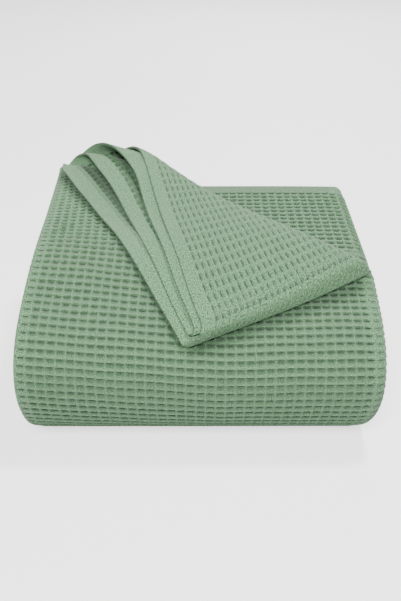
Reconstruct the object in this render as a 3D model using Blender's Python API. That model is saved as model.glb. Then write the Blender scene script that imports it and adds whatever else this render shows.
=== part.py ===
"""A waffle weave cotton blanket, folded for the shelf.

The blanket is one sheet of cloth with hemmed edges. Two folds along its length make a strip of four
plies. The strip is folded back and forth in eight passes, whose front bends nest in each other, so the
front is one round face. The back right corner of the top pass is turned over towards the front, and its
four plies open into a fan at the back left.

X runs along the front face, Y to the back, Z up. The blanket lies on z = 0. Lengths are metres.
"""

import math

import bpy
from mathutils import Vector

# ---------------------------------------------------------------- driving sizes

THICKNESS = 0.0022            # the cloth
WIDTH = 0.370                 # the folded strip at its widest
PLIES = 4                     # plies in the strip
PASSES = 8                    # times that the strip crosses the bundle
PITCH = 0.0060                # from one layer to the next in the bundle
NARROWING = 0.065             # share by which the strip is narrower at the top and bottom

TOP_RUN = 0.185               # top face, back edge to the start of the shoulder
SHOULDER_RADIUS = 0.150
SHOULDER_ANGLE = math.radians(30)
SLOPE_RUN = 0.036             # straight slope between shoulder and front bend

LAYERS = PLIES * PASSES
STACK = (LAYERS - 1) * PITCH
HALF_STACK = STACK / 2
BOTTOM_Z = THICKNESS / 2
TOP_Z = BOTTOM_Z + STACK
MIDDLE_Z = BOTTOM_Z + HALF_STACK

# the front bend takes up the height that the shoulder and the slope leave
FRONT_RADIUS = ((STACK - SHOULDER_RADIUS * (1 - math.cos(SHOULDER_ANGLE))
                 - SLOPE_RUN * math.sin(SHOULDER_ANGLE)) / (1 + math.cos(SHOULDER_ANGLE)))
SHOULDER_END = TOP_RUN + SHOULDER_RADIUS * SHOULDER_ANGLE
SLOPE_END = SHOULDER_END + SLOPE_RUN
BEND_END = SLOPE_END + FRONT_RADIUS * (math.pi - SHOULDER_ANGLE)

# The top pass is pressed thinner at the right, where its corner is turned over.
PRESSED = 0.58                # its pitch there, as a share of PITCH
PRESSED_FROM = -0.13          # x where the pressing starts
PRESSED_OVER = 0.20
PRESSED_PAST = 0.02           # on the way to the front, the pressing fades this far before the bend
PRESSED_FADE = 0.12
FLAP_PITCH = 0.0035           # from ply to ply where the turned corner has settled

# The fold line of the turned corner. It starts at the right end and runs to the back left.
FOLD_ANGLE = math.radians(27.78)
FOLD_FRONT = 0.070            # distance of its start from the front face
FOLD_LENGTH = 0.40
FOLD_REACH = 1.2              # the values of ROLLS hold this far along it, as a share

# How each ply, from the top one down, rolls over that line:
# (line's offset at the start, at the far end, its bow between them,
#  roll radius at the start, at the far end, settling length in radii, lift,
#  slide to the right, belly of the hem, how far the line hooks back at its far end)
ROLLS = [
    (0.0025, 0.0385, 0.0448, 0.0016, 0.0095, 6.53, -0.0119, -0.0200, 0.0180, 0.0010),
    (0.0050, 0.0526, 0.0098, 0.0048, 0.0212, 6.47, -0.0119, -0.0191, 0.0175, 0.0174),
    (0.0075, 0.0680, -0.0274, 0.0079, 0.0328, 3.81, -0.0120, -0.0154, 0.0180, 0.0464),
    (0.0078, 0.0717, -0.0333, 0.0112, 0.0355, 4.06, -0.0064, -0.0127, 0.0093, 0.0202),
]
ROLL_GROWTH = 1.7             # how late the roll opens along the fold line
FAN_DEPTH = 0.25              # slide and belly die out this far from the back edge
SLIDE_FROM = WIDTH / 2 + 0.02  # the slide grows from the left end
SLIDE_OVER = 0.10
HOOK_FROM = 0.74              # share of the fold line where the hook starts
HOOK_OVER = 0.36

# The whole top pass rises off the bundle at the back left.
RISE = 0.0183
RISE_X = -0.0932
RISE_ACROSS = 0.0912
RISE_ALONG = 0.1292
SETTLING_BASE = 0.02          # added to a roll's settling length

HEM_STEP = 0.003              # one free edge stands this far behind its neighbour
SAG = 0.010                   # slow unevenness of the bundle, as a share of its height
SAG_ACROSS = 9.0              # its waves, in radians per metre
SAG_ALONG = 5.0
LEAN_ACROSS = 14.0
LEAN_SHIFT = -1.0
SHARP_ANGLE = math.radians(50)

CLOTH_COLOUR = (0.33, 0.45, 0.33, 1.0)
CLOTH_ROUGHNESS = 0.9

# How finely each stretch is cut into faces.
FLAP_ROWS = 5
SETTLING_ROWS = 3
ROLL_ROWS = 8
LYING_ROWS = 7
LEAST_ROW = 0.0015            # least distance between rows at the back left, where they close up
FAN_SEGMENTS = 10             # across the left half of a ply of the top pass, where the plies fan out
FLAT_SEGMENTS = 4             # across its right half
SEARCH_STEPS = 24
SMALL_BEND_STEPS = 4
LARGE_BEND_STEPS = 6
NORMAL_STEP = 0.0004


# ---------------------------------------------------------------- the bundle's outline

def smooth_step(value):
    value = min(max(value, 0.0), 1.0)
    return value * value * (3 - 2 * value)


def spaced(first, last, count):
    return [first + (last - first) * step / count for step in range(count + 1)]


def outline(path):
    """Distance from the back and height of the outermost layer, path metres from the back edge."""
    if path < TOP_RUN:
        return path, TOP_Z
    shoulder = min((path - TOP_RUN) / SHOULDER_RADIUS, SHOULDER_ANGLE)
    forward = TOP_RUN + SHOULDER_RADIUS * math.sin(shoulder)
    height = TOP_Z - SHOULDER_RADIUS * (1 - math.cos(shoulder))
    slope = min(max(path - SHOULDER_END, 0.0), SLOPE_RUN)
    forward += slope * math.cos(SHOULDER_ANGLE)
    height -= slope * math.sin(SHOULDER_ANGLE)
    bend = SHOULDER_ANGLE + min(max(path - SLOPE_END, 0.0), BEND_END - SLOPE_END) / FRONT_RADIUS
    forward += FRONT_RADIUS * (math.sin(bend) - math.sin(SHOULDER_ANGLE))
    height -= FRONT_RADIUS * (math.cos(SHOULDER_ANGLE) - math.cos(bend))
    return forward - max(path - BEND_END, 0.0), height


DEPTH = TOP_RUN + (SHOULDER_RADIUS - FRONT_RADIUS) * math.sin(SHOULDER_ANGLE) \
    + SLOPE_RUN * math.cos(SHOULDER_ANGLE) + FRONT_RADIUS
FOCUS = DEPTH - HALF_STACK              # the nested front bends close in on this line


def layer_point(path, depth):
    """(y, z) on the layer that lies depth layers in; a negative depth lies outside the bundle."""
    forward, height = outline(path)
    away = forward - min(forward, FOCUS)
    rise = height - MIDDLE_Z
    reach = math.hypot(away, rise)
    scale = reach / HALF_STACK if depth > 0 else 1.0
    inwards = depth * PITCH * scale / reach
    return DEPTH - (forward - inwards * away), height - inwards * rise


# ---------------------------------------------------------------- the turned corner

def pressed_pitch(x, path):
    """Ply pitch of the top pass, as a share of PITCH."""
    right = smooth_step((x - PRESSED_FROM) / PRESSED_OVER)
    low = smooth_step((path - SLOPE_END + PRESSED_PAST) / PRESSED_FADE)
    return 1 - (1 - PRESSED) * right * (1 - low)


def roll_of(ply):
    """The row of ROLLS for a ply, or between two plies inside a fold."""
    low = min(max(int(ply), 0), PLIES - 2)
    share = ply - low
    return [a + (b - a) * share for a, b in zip(ROLLS[low], ROLLS[low + 1])]


def fold_place(x, path, ply):
    """Where a point of the flat strip lies from the fold line: along it, across it, and its roll."""
    start, end, bow, start_radius, end_radius, settling, lift, slide, belly, hook = roll_of(ply)
    fan = max(0.0, 1 - path / FAN_DEPTH) ** 2
    side = x + slide * fan * smooth_step((x + SLIDE_FROM) / SLIDE_OVER) - WIDTH / 2
    ahead = DEPTH - FOLD_FRONT - path + belly * fan * math.sin(math.pi * (x / WIDTH + 0.5))
    cosine, sine = math.cos(FOLD_ANGLE), math.sin(FOLD_ANGLE)
    along = ahead * sine - side * cosine
    share = min(max(along / FOLD_LENGTH, 0.0), FOLD_REACH)
    line = start + (end - start) * share + bow * share * (1 - share) \
        - hook * smooth_step((share - HOOK_FROM) / HOOK_OVER)
    radius = start_radius + (end_radius - start_radius) * share ** ROLL_GROWTH
    across = side * sine + ahead * cosine - line
    return along, across, line, radius, settling * radius + SETTLING_BASE, lift * share ** 2


def turned_point(x, path, ply):
    """A point of the top pass, with its back right corner rolled over the fold line."""
    along, across, line, radius, settling, lift = fold_place(x, path, ply)
    turn = min(max(across / radius, 0.0), math.pi)
    beyond = max(across - math.pi * radius, 0.0)
    reach = min(across, 0.0) + radius * math.sin(turn) - beyond

    cosine, sine = math.cos(FOLD_ANGLE), math.sin(FOLD_ANGLE)
    new_x = WIDTH / 2 + (reach + line) * sine - along * cosine
    new_path = DEPTH - FOLD_FRONT - (reach + line) * cosine - along * sine
    share_pitch = pressed_pitch(new_x, new_path)
    pitch = share_pitch * PITCH
    rise = radius * (1 - math.cos(turn))
    left_over = 1 - smooth_step(beyond / settling)
    if beyond > 0:
        settled = ply * pitch + (ply + 1) * FLAP_PITCH + (pitch - FLAP_PITCH) / 2
        rise = settled + (2 * radius - settled) * left_over
    rise += lift * (1 - math.cos(turn)) / 2 * left_over
    rise += RISE * math.exp(-((new_x - RISE_X) / RISE_ACROSS) ** 2 - (max(new_path, 0.0) / RISE_ALONG) ** 2)
    depth = PLIES - (PLIES - ply) * share_pitch - rise / PITCH
    y, z = layer_point(new_path, depth)
    return new_x, y, z


def path_where(x, ply, across_of):
    """The path at which the strip is as far across the fold line as across_of(radius, settling)."""
    low, high = -DEPTH, DEPTH
    for _ in range(SEARCH_STEPS):
        middle = (low + high) / 2
        _, across, _, radius, settling, _ = fold_place(x, middle, ply)
        if across > across_of(radius, settling):
            low = middle
        else:
            high = middle
    return (low + high) / 2


def top_paths(x, ply):
    """Paths of the top pass's rows in one column: turned corner, settling, roll, then the lying part."""
    settling_rows = [path_where(x, ply, lambda radius, settling: math.pi * radius + settling * share)
                     for share in spaced(1.0, 0.0, SETTLING_ROWS)]
    roll_rows = [path_where(x, ply, lambda radius, settling: radius * turn)
                 for turn in spaced(math.pi, 0.0, ROLL_ROWS)]
    flap_rows = spaced(0.0, max(settling_rows[0], 0.0), FLAP_ROWS)
    paths = [0.0]
    for path in flap_rows[1:] + settling_rows[1:] + roll_rows[1:]:
        paths.append(max(path, paths[-1] + LEAST_ROW))
    return paths + spaced(paths[-1], SLOPE_END, LYING_ROWS)[1:]


# ---------------------------------------------------------------- folds along the length of the strip

# radii of the folds at the back, in layers: round two passes, round one, and the innermost one
LARGE_FOLD = 2 * PLIES - 0.5
SMALL_FOLD = PLIES - 0.5
TIGHT_FOLD = 0.5

END_PATH = BEND_END + outline(BEND_END)[0] - LARGE_FOLD * PITCH
BACK_CENTRE_Y = DEPTH - LARGE_FOLD * PITCH
BACK_CENTRE_Z = BOTTOM_Z + LARGE_FOLD * PITCH
SMALL_BACK = SMALL_FOLD * PITCH
SMALL_BACK_Z = TOP_Z - (2 * PLIES + SMALL_FOLD) * PITCH


def along_bend(first, flip):
    """A pass, the front bend and the pass below it. first is the depth of ply 0."""
    def point(x, path, ply):
        y, z = layer_point(path, first - ply if flip else first + ply)
        return x, y, z
    return point


def back_fold(centre_y, centre_z, outer, flip):
    """A fold at the back. angle goes from its lower pass to its upper one; outer is ply 0's radius."""
    def point(x, angle, ply):
        radius = (outer + ply if flip else outer - ply) * PITCH
        return x, centre_y + radius * math.sin(angle), centre_z - radius * math.cos(angle)
    return point


def bend_rows(reverse, start=0.0):
    """Row positions along a pass, its front bend and the next pass."""
    rows = [start, TOP_RUN] + spaced(TOP_RUN, SLOPE_END, 2)[1:] \
        + spaced(SLOPE_END, BEND_END, LARGE_BEND_STEPS + 1)[1:] + [END_PATH]
    return rows[::-1] if reverse else rows


def strip_rows():
    """Rows after the top pass, from the front bend to the inner end, as (point function, position)."""
    stretches = [
        (turned_point, spaced(SLOPE_END, BEND_END, LARGE_BEND_STEPS + 3)[1:] + [END_PATH]),
        (back_fold(BACK_CENTRE_Y, BACK_CENTRE_Z, LARGE_FOLD, False),
         spaced(0.0, math.pi, LARGE_BEND_STEPS + 1)[1:-1]),
        (along_bend(4 * PLIES - 1, True), bend_rows(True, SMALL_BACK)),
        (back_fold(DEPTH - SMALL_BACK, SMALL_BACK_Z, SMALL_FOLD, False),
         spaced(0.0, math.pi, SMALL_BEND_STEPS + 1)[1:-1]),
        (along_bend(2 * PLIES, False), bend_rows(False, SMALL_BACK)),
        (back_fold(BACK_CENTRE_Y, BACK_CENTRE_Z, TIGHT_FOLD, True),
         spaced(math.pi, 0.0, SMALL_BEND_STEPS + 1)[1:-1]),
        (along_bend(2 * PLIES - 1, True), bend_rows(True, HEM_STEP)),
    ]
    return [(point, position) for point, positions in stretches for position in positions]


# ---------------------------------------------------------------- folds across the strip

OUTER_CREASE = 1.5            # radii of the folds at the strip's sides, in layers
INNER_CREASE = 0.5

def cross_path():
    """The sheet's way across the strip, hem to hem, as stretches of (length, place at a share of it)."""
    left, right = -WIDTH / 2, WIDTH / 2 - OUTER_CREASE * PITCH
    turn = left + INNER_CREASE * PITCH

    def ply_run(ply, start, end):
        return abs(end - start), lambda share: (start + (end - start) * share, ply)

    def fold(centre, middle, radius, side, way):
        def place(share):
            angle = math.pi * share
            return (centre + side * radius * PITCH * math.sin(angle),
                    middle - way * radius * math.cos(angle))
        return math.pi * radius * PITCH, place

    return [
        ply_run(3, left + HEM_STEP, right),
        fold(right, 1.5, OUTER_CREASE, 1, -1),
        ply_run(0, right, turn),
        fold(turn, 0.5, INNER_CREASE, -1, 1),
        ply_run(1, turn, right),
        fold(right, 1.5, INNER_CREASE, 1, 1),
        ply_run(2, right, left),
    ]


def columns():
    """Positions across the sheet, and the indexes of those that the hidden passes keep."""
    marks, kept = [0.0], [0]
    at = 0.0
    for length, place in cross_path():
        shares = spaced(0.0, 1.0, SMALL_BEND_STEPS)
        is_ply = length > WIDTH / 2
        if is_ply:
            shares = spaced(0.0, 0.5, FAN_SEGMENTS) + spaced(0.5, 1.0, FLAT_SEGMENTS)[1:]
            if place(0.0)[0] > 0:
                shares = [1 - share for share in reversed(shares)]
        for share in shares[1:]:
            marks.append(at + length * share)
            if not is_ply or share in (0.5, 1.0):
                kept.append(len(marks) - 1)
        at += length
    return marks, kept


def place_across(mark):
    """(x, ply) at a distance from the first hem."""
    stretches = cross_path()
    for length, place in stretches[:-1]:
        if mark < length:
            return place(mark / length)
        mark -= length
    length, place = stretches[-1]
    return place(mark / length)


# ---------------------------------------------------------------- the sheet

def settle(point):
    """Narrow the bundle towards its top and bottom, and let it lie a little uneven."""
    x, y, z = point
    level = min(max(z, 0.0), TOP_Z)
    x *= 1 - NARROWING * ((level - MIDDLE_Z) / HALF_STACK) ** 2
    z *= 1 + SAG * math.sin(SAG_ACROSS * x + SAG_ALONG * y)
    y += SAG * z * math.sin(LEAN_ACROSS * x + LEAN_SHIFT)
    return Vector((x, y, z))


def sheet_point(point, position, mark):
    x, ply = place_across(mark)
    return Vector(point(x, position, ply))


def sheet_faces(point, position, mark, forwards):
    """The two points, one on each face of the cloth, of a place on the sheet."""
    step = NORMAL_STEP * forwards
    along = sheet_point(point, position + step, mark) - sheet_point(point, position - step, mark)
    across = sheet_point(point, position, mark + NORMAL_STEP) \
        - sheet_point(point, position, mark - NORMAL_STEP)
    offset = across.cross(along).normalized() * THICKNESS / 2
    middle = sheet_point(point, position, mark)
    return settle(middle + offset), settle(middle - offset)


def build_sheet():
    marks, kept = columns()
    top_columns = [top_paths(*place_across(mark)) for mark in marks]
    rows = [(turned_point, number) for number in range(len(top_columns[0]))]
    top_rows = len(rows)
    rows += strip_rows()
    vertices, index = [], []
    forwards = 1
    for number, (point, position) in enumerate(rows):
        if number + 1 < len(rows) and number >= top_rows and rows[number + 1][0] is point:
            forwards = 1 if rows[number + 1][1] > position else -1
        line = {}
        for column in (range(len(marks)) if number < top_rows else kept):
            place = top_columns[column][number] if number < top_rows else position
            line[column] = len(vertices)
            vertices += sheet_faces(point, place, marks[column], forwards)
        index.append(line)

    faces = []
    for low, high in zip(index, index[1:]):
        faces += strip_faces(low, high)
    first, last = index[0], index[-1]
    faces += [(first[a] + 1, first[b] + 1, first[b], first[a])
              for a, b in zip(sorted(first), sorted(first)[1:])]
    faces += [(last[a], last[b], last[b] + 1, last[a] + 1)
              for a, b in zip(sorted(last), sorted(last)[1:])]
    for low, high in zip(index, index[1:]):
        a, b = low[0], high[0]
        faces.append((a, b, b + 1, a + 1))
        a, b = low[len(marks) - 1], high[len(marks) - 1]
        faces.append((a + 1, b + 1, b, a))
    return vertices, faces


def strip_faces(low, high):
    """Both faces of the cloth between two rows; the second may keep fewer columns."""
    faces = []
    columns_kept = sorted(high)
    for a, b in zip(columns_kept, columns_kept[1:]):
        run = [low[column] for column in range(a, b + 1) if column in low]
        ring = run + [high[b], high[a]]
        if len(run) == 2:
            faces.append(tuple(ring))
            faces.append(tuple(corner + 1 for corner in reversed(ring)))
            continue
        half = len(run) // 2
        for step, (start, end) in enumerate(zip(run, run[1:])):
            tip = high[a] if step < half else high[b]
            faces.append((start, end, tip))
            faces.append((tip + 1, end + 1, start + 1))
        faces.append((run[half], high[b], high[a]))
        faces.append((high[a] + 1, high[b] + 1, run[half] + 1))
    return faces


def cloth_material():
    material = bpy.data.materials.new("waffle_cotton")
    material.use_nodes = True
    shader = material.node_tree.nodes["Principled BSDF"]
    shader.inputs["Base Color"].default_value = CLOTH_COLOUR
    shader.inputs["Roughness"].default_value = CLOTH_ROUGHNESS
    shader.inputs["Metallic"].default_value = 0.0
    return material


def main():
    for item in list(bpy.data.objects):
        bpy.data.objects.remove(item, do_unlink=True)
    vertices, faces = build_sheet()
    centre = Vector([(min(v[axis] for v in vertices) + max(v[axis] for v in vertices)) / 2
                     for axis in range(2)] + [0.0])
    vertices = [vertex - centre for vertex in vertices]
    mesh = bpy.data.meshes.new("blanket")
    mesh.from_pydata(vertices, [], faces)
    mesh.materials.append(cloth_material())
    mesh.shade_smooth()
    mesh.set_sharp_from_angle(angle=SHARP_ANGLE)
    blanket = bpy.data.objects.new("blanket", mesh)
    bpy.context.scene.collection.objects.link(blanket)


main()
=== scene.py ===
"""A waffle weave cotton blanket, folded for the shelf.

The cloth is one sheet with plain hems. It is folded into a strip of four plies, and the strip goes back
and forth in eight passes. The back right corner of the top pass is turned over towards the front.
Lengths are metres. X runs along the front, Y to the back, Z up.
"""

import math

import bpy
import numpy as np
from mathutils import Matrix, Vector


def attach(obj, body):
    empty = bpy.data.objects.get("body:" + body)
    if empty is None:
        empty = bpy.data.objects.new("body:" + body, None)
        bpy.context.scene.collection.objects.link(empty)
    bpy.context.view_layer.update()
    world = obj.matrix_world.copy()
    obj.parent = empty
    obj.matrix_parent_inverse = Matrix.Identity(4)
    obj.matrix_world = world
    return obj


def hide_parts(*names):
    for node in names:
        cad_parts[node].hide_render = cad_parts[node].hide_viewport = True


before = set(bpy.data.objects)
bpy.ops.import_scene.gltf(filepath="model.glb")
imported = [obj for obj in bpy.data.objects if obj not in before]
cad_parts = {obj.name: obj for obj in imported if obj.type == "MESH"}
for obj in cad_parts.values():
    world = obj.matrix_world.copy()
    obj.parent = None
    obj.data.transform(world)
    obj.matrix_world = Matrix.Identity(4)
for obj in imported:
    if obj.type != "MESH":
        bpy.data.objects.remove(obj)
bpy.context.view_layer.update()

# ---------------------------------------------------------------- sizes of the folded bundle

THICKNESS = 0.0022            # the cloth
WIDTH = 0.370                 # the folded strip at its widest
PLIES = 4
PASSES = 8
PITCH = 0.0060                # from one layer to the next
NARROWING = 0.065             # of the bundle towards its top and bottom, as a share

TOP_RUN = 0.185               # the outermost layer: flat top, round shoulder, slope, round front
SHOULDER_RADIUS = 0.150
SHOULDER_ANGLE = math.radians(30)
SLOPE_RUN = 0.036

STACK = (PLIES * PASSES - 1) * PITCH
HALF_STACK = STACK / 2
BOTTOM_Z = THICKNESS / 2
TOP_Z = BOTTOM_Z + STACK
MIDDLE_Z = BOTTOM_Z + HALF_STACK

FRONT_RADIUS = ((STACK - SHOULDER_RADIUS * (1 - math.cos(SHOULDER_ANGLE))
                 - SLOPE_RUN * math.sin(SHOULDER_ANGLE)) / (1 + math.cos(SHOULDER_ANGLE)))
SHOULDER_END = TOP_RUN + SHOULDER_RADIUS * SHOULDER_ANGLE
SLOPE_END = SHOULDER_END + SLOPE_RUN
BEND_END = SLOPE_END + FRONT_RADIUS * (math.pi - SHOULDER_ANGLE)

PRESSED = 0.58                # pitch of the top plies under the turned corner, as a share
PRESSED_FROM = -0.13
PRESSED_OVER = 0.20
RELEASE_BEFORE = 0.02         # and where they spread again, from the end of the slope
RELEASE_OVER = 0.12
FLAP_PITCH = 0.0035           # from one turned ply to the next

FOLD_ANGLE = math.radians(27.78)     # of the line that the corner is turned over on
FOLD_FRONT = 0.070
FOLD_LENGTH = 0.40
FOLD_REACH = 1.2

# (line start, line end, bow, roll start, roll end, settling, lift, slide, belly, hook) of each ply
ROLLS = np.array([
    (0.0025, 0.0385, 0.0448, 0.0016, 0.0095, 6.53, -0.0119, -0.0200, 0.0180, 0.0010),
    (0.0050, 0.0526, 0.0098, 0.0048, 0.0212, 6.47, -0.0119, -0.0191, 0.0175, 0.0174),
    (0.0075, 0.0680, -0.0274, 0.0079, 0.0328, 3.81, -0.0120, -0.0154, 0.0180, 0.0464),
    (0.0078, 0.0717, -0.0333, 0.0112, 0.0355, 4.06, -0.0064, -0.0127, 0.0093, 0.0202),
])
ROLL_GROWTH = 1.7
FAN_DEPTH = 0.25              # how far from the back the plies are fanned out
SLIDE_FROM = WIDTH / 2 + 0.02
SLIDE_OVER = 0.10
RISE = 0.0148                 # the top's swelling at the back left
RISE_X = -0.0932
RISE_ACROSS = 0.0912
RISE_ALONG = 0.1292
SETTLING_BASE = 0.02          # how far past its roll a ply needs to lie down
HOOK_FROM = 0.74
HOOK_OVER = 0.36
HEM_STEP = 0.003              # how far the free edges stand back
SAG = 0.010                   # unevenness of the bundle, in its height and its lean
SAG_ACROSS = 9
SAG_DEEP = 5
LEAN_ACROSS = 14
LEAN_PHASE = 1
NORMAL_STEP = 0.0004
TINY = 1e-12

CENTRE = Vector((0.0, 0.16616, 0.0))     # middle of the bundle's plan

# ---------------------------------------------------------------- the weave

CELL_LONG = 0.0083            # a cell along the strip
RELIEF = 0.0033               # from the floor of a cell to its ridge
FLOOR_SHARE = 0.20            # where a cell's floor lies, as a share from one ridge to the next
EVEN_FROM = 44                # from this row on it moves to the middle
EVEN_OVER = 9
RELIEF_LEVEL = 0.55           # share of the relief that lies below the plain face
DEPTH_CHANCE = 0.18           # how unevenly deep the cells are, as a share of the relief
CHANCE_STEPS = (12.9898, 78.233)     # a fixed hash of a cell's column and row
CHANCE_SCALE = 43758.5453
RIDGE_POWER = 0.9
SIDE_POWER = 3.6              # steeper beside the ridges that run along the strip
DRAWN_RELIEF = 1.3            # the inner end's cells are drawn out: deeper, and with flatter rows
DRAWN_POWER = 0.5
DRAWN_SIDE_POWER = 5.0
BACK_RELIEF = 0.8             # relief of the cloth's other face, as a share
BACK_SHIFT = 0.5              # and how far its cells lie from the first face's, in cells
TURNED_LOSS = 0.42            # share of the relief that is pressed out of the turned corner
CREASE_LOSS = 0.70            # and of the folds at the sides
INNER_CREASE_LOSS = 0.2
TURNED_CREASE_LOSS = 0.85     # and of those folds where the corner is turned
TURNED_CREASE_POWER = 3
EDGE_LOSS = 0.95              # and in a band along the edge of the turned corner
EDGE_MIDDLE = 0.001
EDGE_BAND = 0.003
EDGE_FADE = 0.003
CREASE_REACH = 0.012
BACK_LOSS = 0.35              # and towards the back of the top
BACK_FROM = 0.10
BACK_OVER = 0.12
CORNER_REACH = 0.045          # the folded corners of the free end are round
CORNER_ROWS = 5
CORNER_ROUND = 0.013
HEM_CURL = 0.0014             # how far a free end curls up
CURL_CELLS = 1.6
SHADE_START = 0.022           # the painted shadow beside the turned corner: along its folded edge, from its tip
SHADE_END = 0.222
SHADE_STEP = 0.011            # how far it reaches there
SHADE_REACH = 0.010
SHADE_LEFT = -0.13            # and along its free end
LEFT_STEP = 0.003
LEFT_REACH = 0.006
EDGE_STEPS = 12
FOLD_SHADE = 0.6              # painted shade on the lower half of its fold, as a share
FOLD_SHADE_FROM = 0.22
FOLD_SHADE_OVER = 0.15
RIM_SHADE = 1.0               # and painted shade on the rims along their free edges
UNDER_SHADE = 0.9             # and painted shadow on its plies beyond their hems, where the next ply covers them
WOBBLE = 0.0006               # how far the rows of cells wander
SWELL_WIDE = (0.31, 0.70)     # (turn per cell, phase) of the waves that they wander in
SWELL_LONG = (0.23, 1.19)
RIPPLE = (0.83, 0.47, 1.61)   # (turn per cell across, per cell along, phase)
RIPPLE_SHARE = 0.6
HEM_CELLS = 2                 # width of a plain hem, in cells
HEM_MARGIN = 0.001
HEM_RAISE = 0.0004
ROW_SLOPE = math.tan(math.radians(4.5))     # of the rows on the left part of the front
SKEW_FROM = 0.03
SKEW_OVER = 0.20
SKEW_END = 0.05
SKEW_FADE = 0.15
SKEW_RIGHT = 0.02
SHARP_ANGLE = math.radians(65)
RIM_ANGLES = (45, 90, 135)    # rows of points round a free edge

FINE = (0.0, 0.09, 0.20, 0.42, 0.66, 0.88)     # places of the points within a cell
MEDIUM = (0.0, 0.20, 0.50, 0.80)
TOP_CELLS = 31                # rows of cells in the top pieces, from the back edge


def smooth(value):
    value = np.clip(value, 0.0, 1.0)
    return value * value * (3 - 2 * value)


# ---------------------------------------------------------------- shape of the bundle

def outline(path):
    """Distance from the back and height of the outermost layer."""
    path = np.asarray(path, dtype=float)
    shoulder = np.clip((path - TOP_RUN) / SHOULDER_RADIUS, 0, SHOULDER_ANGLE)
    forward = np.minimum(path, TOP_RUN) + SHOULDER_RADIUS * np.sin(shoulder)
    height = TOP_Z - SHOULDER_RADIUS * (1 - np.cos(shoulder))
    slope = np.clip(path - SHOULDER_END, 0.0, SLOPE_RUN)
    forward = forward + slope * math.cos(SHOULDER_ANGLE)
    height = height - slope * math.sin(SHOULDER_ANGLE)
    bend = SHOULDER_ANGLE + np.clip(path - SLOPE_END, 0.0, BEND_END - SLOPE_END) / FRONT_RADIUS
    forward = forward + FRONT_RADIUS * (np.sin(bend) - math.sin(SHOULDER_ANGLE))
    height = height - FRONT_RADIUS * (math.cos(SHOULDER_ANGLE) - np.cos(bend))
    return forward - np.maximum(path - BEND_END, 0.0), height


DEPTH = TOP_RUN + (SHOULDER_RADIUS - FRONT_RADIUS) * math.sin(SHOULDER_ANGLE) \
    + SLOPE_RUN * math.cos(SHOULDER_ANGLE) + FRONT_RADIUS
FOCUS = DEPTH - HALF_STACK


def layer_point(path, depth):
    forward, height = outline(path)
    away = forward - np.minimum(forward, FOCUS)
    rise = height - MIDDLE_Z
    reach = np.hypot(away, rise)
    scale = np.where(depth > 0, reach / HALF_STACK, 1.0)
    inwards = depth * PITCH * scale / reach
    return DEPTH - (forward - inwards * away), height - inwards * rise


def pressed_pitch(x, path):
    right = smooth((x - PRESSED_FROM) / PRESSED_OVER)
    low = smooth((path - (SLOPE_END - RELEASE_BEFORE)) / RELEASE_OVER)
    return 1 - (1 - PRESSED) * right * (1 - low)


def fold_place(x, path, ply):
    """Where a point of the flat strip lies from the fold line: along it, across it, and its roll."""
    start, end, bow, start_radius, end_radius, settling, lift, slide, belly, hook = [
        np.interp(ply, range(PLIES), column) for column in ROLLS.T]
    fan = np.maximum(0.0, 1 - path / FAN_DEPTH) ** 2
    side = x + slide * fan * smooth((x + SLIDE_FROM) / SLIDE_OVER) - WIDTH / 2
    ahead = DEPTH - FOLD_FRONT - path + belly * fan * np.sin(math.pi * (x / WIDTH + 0.5))
    cosine, sine = math.cos(FOLD_ANGLE), math.sin(FOLD_ANGLE)
    along = ahead * sine - side * cosine
    share = np.clip(along / FOLD_LENGTH, 0.0, FOLD_REACH)
    line = start + (end - start) * share + bow * share * (1 - share)
    line = line - hook * smooth((share - HOOK_FROM) / HOOK_OVER)
    radius = start_radius + (end_radius - start_radius) * share ** ROLL_GROWTH
    across = side * sine + ahead * cosine - line
    return along, across, line, radius, settling * radius + SETTLING_BASE, lift * share ** 2


def turned_share(x, path, ply):
    """0 where the top pass lies flat, 1 where it is turned over."""
    _, across, _, radius, _, _ = fold_place(x, path, ply)
    return smooth(across / (math.pi * radius))


def top_pass(x, path, ply, flat=False):
    """A point of the top pass, with its back right corner rolled over the fold line.

    flat gives its place on the flat strip instead.
    """
    along, across, line, radius, settling, lift = fold_place(x, path, ply)
    cosine, sine = math.cos(FOLD_ANGLE), math.sin(FOLD_ANGLE)
    turn = np.clip(across / radius, 0.0, math.pi)
    beyond = np.maximum(across - math.pi * radius, 0.0)
    reach = np.minimum(across, 0.0) + radius * np.sin(turn) - beyond
    new_x = WIDTH / 2 + (reach + line) * sine - along * cosine
    new_path = DEPTH - FOLD_FRONT - (reach + line) * cosine - along * sine
    if flat:
        return new_x, new_path
    pressed = pressed_pitch(new_x, new_path)
    pitch = pressed * PITCH
    settled = ply * pitch + (ply + 1) * FLAP_PITCH + (pitch - FLAP_PITCH) / 2
    left_over = 1 - smooth(beyond / settling)
    rise = np.where(beyond > 0, settled + (2 * radius - settled) * left_over,
                    radius * (1 - np.cos(turn)))
    rise = rise + lift * (1 - np.cos(turn)) / 2 * left_over
    rise = rise + RISE * np.exp(-((new_x - RISE_X) / RISE_ACROSS) ** 2
                                - (np.maximum(new_path, 0.0) / RISE_ALONG) ** 2)
    depth = PLIES - (PLIES - ply) * pressed - rise / PITCH
    y, z = layer_point(new_path, depth)
    return new_x, y, z


# the turns at the back: radii of ply 0 in pitches and in metres, and their middles
BIG_TURN = 2 * PLIES - 0.5
SMALL_TURN = PLIES - 0.5
TIGHT_TURN = 0.5
BIG_BACK = BIG_TURN * PITCH
SMALL_BACK = SMALL_TURN * PITCH
END_PATH = float(BEND_END + outline(BEND_END)[0] - BIG_BACK)
BACK_CENTRE_Y = DEPTH - BIG_BACK
BACK_CENTRE_Z = BOTTOM_Z + BIG_BACK
SMALL_BACK_Z = TOP_Z - (3 * PLIES - 0.5) * PITCH


def along_bend(first, flip):
    """A pass along the outline. first is the layer of its ply 0, and flip counts the plies outwards."""
    def point(x, path, ply):
        y, z = layer_point(path, first - ply if flip else first + ply)
        return x, y, z
    return point


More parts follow.
